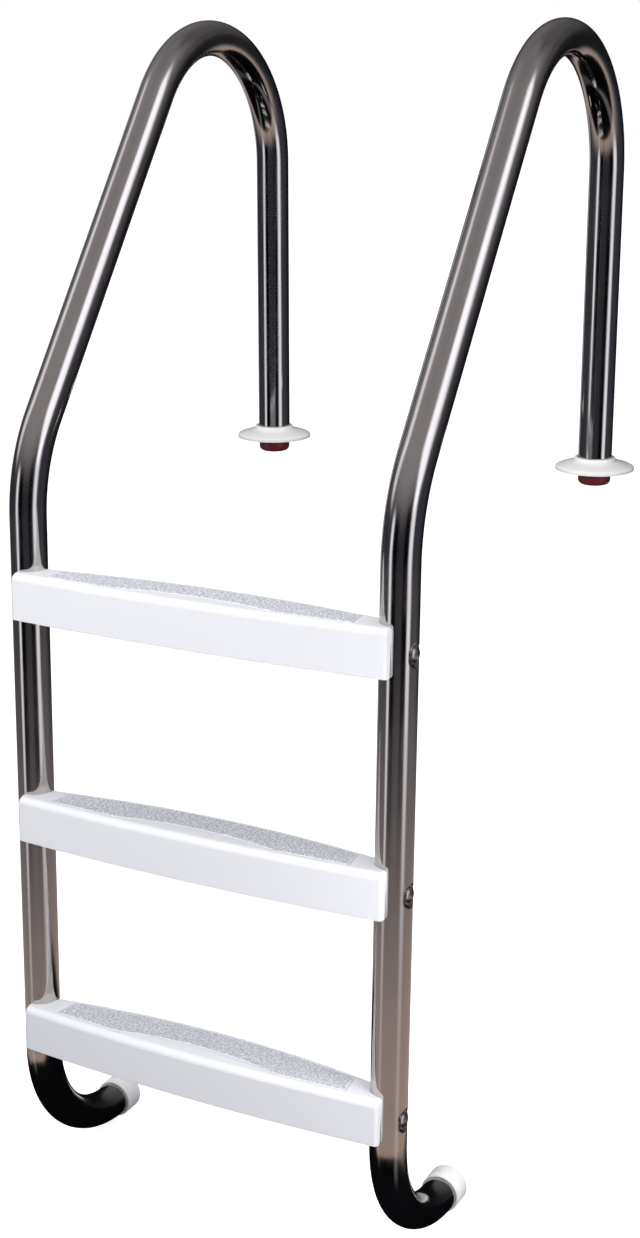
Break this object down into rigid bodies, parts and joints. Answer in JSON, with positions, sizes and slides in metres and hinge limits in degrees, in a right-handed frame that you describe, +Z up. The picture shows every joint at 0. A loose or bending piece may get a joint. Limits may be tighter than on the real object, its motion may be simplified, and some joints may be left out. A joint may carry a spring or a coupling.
{
  "type": "pool ladder",
  "caption": "Deck-mounted swimming pool ladder with bent stainless rails, moulded white treads, wall bumpers and loose deck flanges.",
  "frame": {"origin": "midway between the axes of the two deck legs, at the level of the deck", "axes": "+Z up, +Y away from the water onto the deck, +X to the right rail as seen from the water"},
  "size_m": [0.647, 0.7753, 1.567],
  "materials": {
    "tube_steel": "mirror-polished stainless steel tube",
    "tread_plastic": "satin moulded plastic with a pebbled anti-slip top",
    "flange_plastic": "glossy moulded plastic",
    "bumper_rubber": "satin white rubber",
    "plug_rubber": "satin dark red rubber",
    "fastener_steel": "polished stainless steel"
  },
  "bodies": {
    "ladder": {"rail_left": "tube_steel", "rail_right": "tube_steel", "tread_top": "tread_plastic", "tread_middle": "tread_plastic", "tread_bottom": "tread_plastic", "bolt_top_left": "fastener_steel", "bolt_top_right": "fastener_steel", "bolt_middle_left": "fastener_steel", "bolt_middle_right": "fastener_steel", "bolt_bottom_left": "fastener_steel", "bolt_bottom_right": "fastener_steel", "washer_top_left": "fastener_steel", "washer_top_right": "fastener_steel", "washer_middle_left": "fastener_steel", "washer_middle_right": "fastener_steel", "washer_bottom_left": "fastener_steel", "washer_bottom_right": "fastener_steel", "nut_top_left": "fastener_steel", "nut_top_right": "fastener_steel", "nut_middle_left": "fastener_steel", "nut_middle_right": "fastener_steel", "nut_bottom_left": "fastener_steel", "nut_bottom_right": "fastener_steel", "bumper_left": "bumper_rubber", "bumper_right": "bumper_rubber", "leg_plug_left": "plug_rubber", "leg_plug_right": "plug_rubber"},
    "flange_left_body": {"escutcheon_left": "flange_plastic"},
    "flange_right_body": {"escutcheon_right": "flange_plastic"}
  },
  "joints": [
    {"name": "lift_left", "type": "slide", "parent": "ladder", "child": "flange_left_body", "axis": [0, 0, 1], "range_m": [0, 0.3]},
    {"name": "lift_right", "type": "slide", "parent": "ladder", "child": "flange_right_body", "axis": [0, 0, 1], "range_m": [0, 0.3]}
  ]
}
